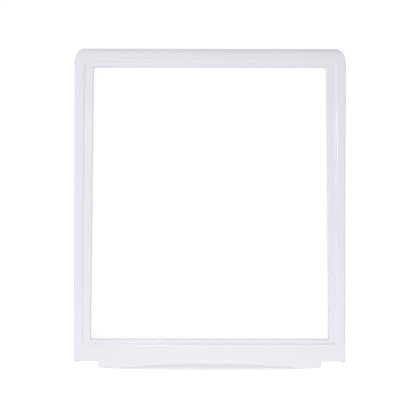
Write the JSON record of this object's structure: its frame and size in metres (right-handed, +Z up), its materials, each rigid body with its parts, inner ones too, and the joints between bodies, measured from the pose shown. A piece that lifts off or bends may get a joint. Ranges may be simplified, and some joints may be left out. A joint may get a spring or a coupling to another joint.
{
  "type": "crisper drawer cover frame",
  "caption": "Flat moulded frame that covers a refrigerator crisper drawer: a glass recess with a ledge round a large window, a rolled rear rim and a bowed, scooped front lip.",
  "frame": {"origin": "on the floor, under the middle of the whole outline", "axes": "+Z up out of the top face, +Y towards the rear rim, -Y towards the front lip, X across the frame"},
  "size_m": [0.4, 0.4762, 0.02],
  "materials": {
    "white_plastic": "smooth moulded, soft gloss"
  },
  "bodies": {
    "root": {"cover_frame": "white_plastic"}
  },
  "joints": []
}
